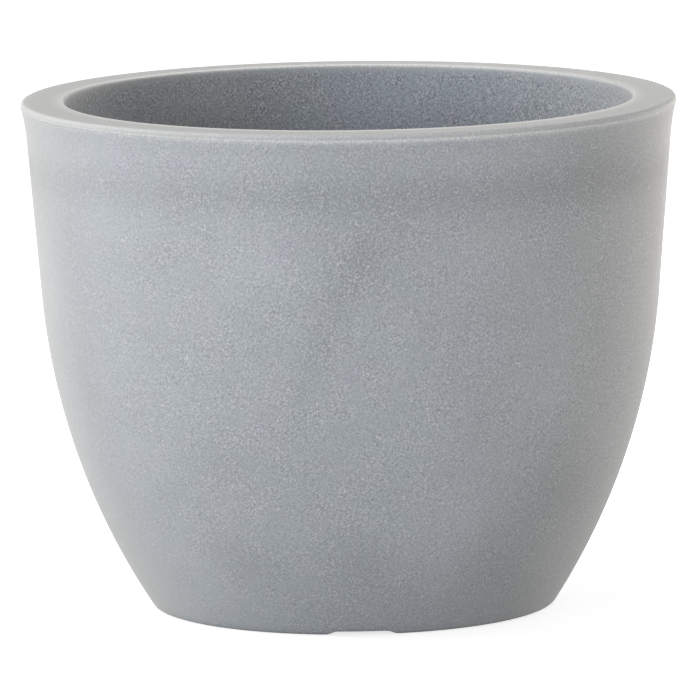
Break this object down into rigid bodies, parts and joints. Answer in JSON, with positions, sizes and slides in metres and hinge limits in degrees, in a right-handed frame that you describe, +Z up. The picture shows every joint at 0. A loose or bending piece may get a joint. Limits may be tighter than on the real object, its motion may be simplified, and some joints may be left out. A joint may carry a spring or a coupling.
{
  "type": "flower pot",
  "caption": "Round moulded floor planter with a curved belly, drafted side, wide flat rim with an inner skirt, notched foot ring and a lift-out drain plug.",
  "frame": {"origin": "centre of the foot ring's contact plane, on the pot's axis", "axes": "+Z up along the pot's axis through the mouth; X and Y through the four foot notches"},
  "size_m": [0.508, 0.508, 0.396],
  "materials": {
    "pot_shell": "speckled stone-effect polyethylene, sandblasted mould texture",
    "drain_plug": "matt moulded rubber"
  },
  "bodies": {
    "pot": {"pot_shell": "pot_shell"},
    "plug": {"drain_plug": "drain_plug"}
  },
  "joints": [
    {"name": "plug_lift", "type": "slide", "parent": "pot", "child": "plug", "axis": [0, 0, 1], "range_m": [0, 0.05]}
  ]
}
